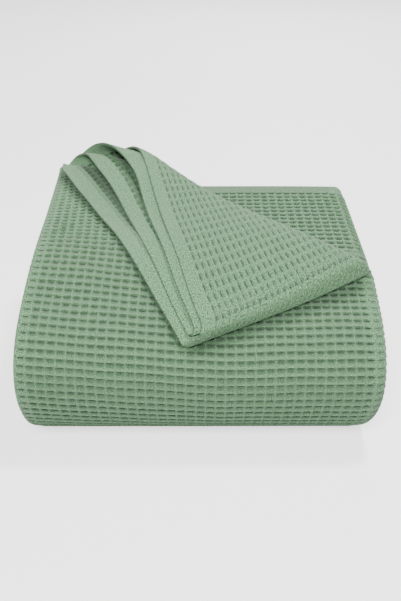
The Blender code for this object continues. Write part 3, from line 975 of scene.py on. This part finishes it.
def build_stitches():
    places, directions, outs = stitch_places()
    mesh = bpy.data.meshes.new("stitch_places")
    mesh.from_pydata(places.tolist(), [], [])
    for name, vectors in (("direction", directions), ("outward", outs)):
        layer = mesh.attributes.new(name, "FLOAT_VECTOR", "POINT")
        layer.data.foreach_set("vector", vectors.astype(np.float32).ravel())
    points = bpy.data.objects.new("stitch_places", mesh)
    bpy.context.scene.collection.objects.link(points)
    tree = stitch_tree(thread_material())
    modifier = points.modifiers.new("stitches", "NODES")
    modifier.node_group = tree
    sizes = {"Length": STITCH_LENGTH, "Width": STITCH_WIDTH}
    for item in tree.interface.items_tree:
        if item.name in sizes:
            modifier[item.identifier] = sizes[item.name]
    ready = points.evaluated_get(bpy.context.evaluated_depsgraph_get())
    stitched = bpy.data.meshes.new_from_object(ready)
    stitched.name = "hem_stitches"
    piece = bpy.data.objects.new("hem_stitches", stitched)
    bpy.data.objects.remove(points)
    bpy.context.scene.collection.objects.link(piece)
    return piece


stitches = build_stitches()
# the inner passes are cut from one length of the sheet, less what the front and the inner end take of it
cut_away = sum(wide * long for piece, wide, long in pieces if piece.name in ("front", "inner_end"))
(rest.area + cut_away) / SHEET_WIDTH
for piece in [piece for piece, _, _ in pieces] + [inner_passes]:
    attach(piece, "root")
    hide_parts("blanket")
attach(stitches, "root")

# ---------------------------------------------------------------- floor, light and camera

WHITE = (1.0, 1.0, 1.0, 1.0)
FLOOR_SIZE = 30
FLOOR_ROUGHNESS = 0.7
FLOOR_PAINT = (0.92, 0.92, 0.91, 1.0)
FLOOR_BOUNCE = (0.62, 0.62, 0.62, 1.0)
FLOOR_GLOW = 1.65             # makes the floor pale for the camera, without lighting the bundle
SKY_LIGHT = 0.13
SKY_SEEN = 1.75               # and the same for the sky
# (name, place, target, size, power)
LIGHTS = [
    ("key", (0.6, 0.2, 2.1), (0, 0, 0.1), 0.3, 38),
    ("back", (0.3, 2.0, 1.0), (0, 0, 0.15), 0.5, 15),
    ("fill", (-0.3, -1.8, 1.9), (0, 0, 0.1), 0.7, 84),
]


def for_camera(tree, lit, seen, result):
    """One shader for the light in the scene, and another for what the camera sees directly."""
    direct = Shade(tree, tree.nodes.new("ShaderNodeLightPath").outputs["Is Camera Ray"])
    mixed = new_node(tree, "ShaderNodeMixShader", Fac=direct)
    tree.links.new(lit, mixed.inputs[1])
    tree.links.new(seen, mixed.inputs[2])
    tree.links.new(mixed.outputs["Shader"], result)


def floor_material():
    material = bpy.data.materials.new("floor_paint")
    material.use_nodes = True
    tree = material.node_tree
    tree.nodes.clear()
    plain = new_node(tree, "ShaderNodeBsdfPrincipled", Base_Color=FLOOR_BOUNCE,
                     Roughness=FLOOR_ROUGHNESS)
    bright = new_node(tree, "ShaderNodeBsdfPrincipled", Base_Color=FLOOR_PAINT,
                      Roughness=FLOOR_ROUGHNESS, Emission_Color=WHITE, Emission_Strength=FLOOR_GLOW)
    output = tree.nodes.new("ShaderNodeOutputMaterial")
    for_camera(tree, plain.outputs["BSDF"], bright.outputs["BSDF"], output.inputs["Surface"])
    return material


bpy.ops.mesh.primitive_plane_add(size=FLOOR_SIZE, location=(0, 0, 0))
floor = bpy.context.object
floor.name = "floor"
floor.data.materials.append(floor_material())


def area_light(name, place, target, size, power):
    light = bpy.data.lights.new(name, "AREA")
    light.shape = "SQUARE"
    light.size = size
    light.energy = power
    lamp = bpy.data.objects.new(name, light)
    lamp.location = place
    lamp.rotation_euler = (Vector(target) - Vector(place)).to_track_quat("-Z", "Y").to_euler()
    bpy.context.scene.collection.objects.link(lamp)


for row in LIGHTS:
    area_light(*row)
world = bpy.data.worlds.new("studio")
bpy.context.scene.world = world
world.use_nodes = True
sky = world.node_tree
dim = sky.nodes["Background"]
dim.inputs["Color"].default_value = WHITE
dim.inputs["Strength"].default_value = SKY_LIGHT
wall = new_node(sky, "ShaderNodeBackground", Color=WHITE, Strength=SKY_SEEN)
for_camera(sky, dim.outputs["Background"], wall.outputs["Background"],
           sky.nodes["World Output"].inputs["Surface"])

CAMERA_PITCH = 30.08
CAMERA_BACK = 0.7062          # from the bundle's front
CAMERA_ABOVE = 0.432          # above the top of the second pass
CAMERA_HEIGHT = TOP_Z - PLIES * PITCH + THICKNESS / 2 + CAMERA_ABOVE
FOCAL_PIXELS = 871.4
PICTURE_HEIGHT = 601
SENSOR = 36.0

camera_data = bpy.data.cameras.new("camera")
camera_data.sensor_fit = "AUTO"
camera_data.sensor_width = SENSOR
camera_data.lens = SENSOR * FOCAL_PIXELS / PICTURE_HEIGHT
camera = bpy.data.objects.new("camera", camera_data)
camera.location = Vector((0.0, -CAMERA_BACK, CAMERA_HEIGHT)) - CENTRE
camera.rotation_euler = (math.radians(90 - CAMERA_PITCH), 0, 0)
bpy.context.scene.collection.objects.link(camera)
bpy.context.scene.camera = camera
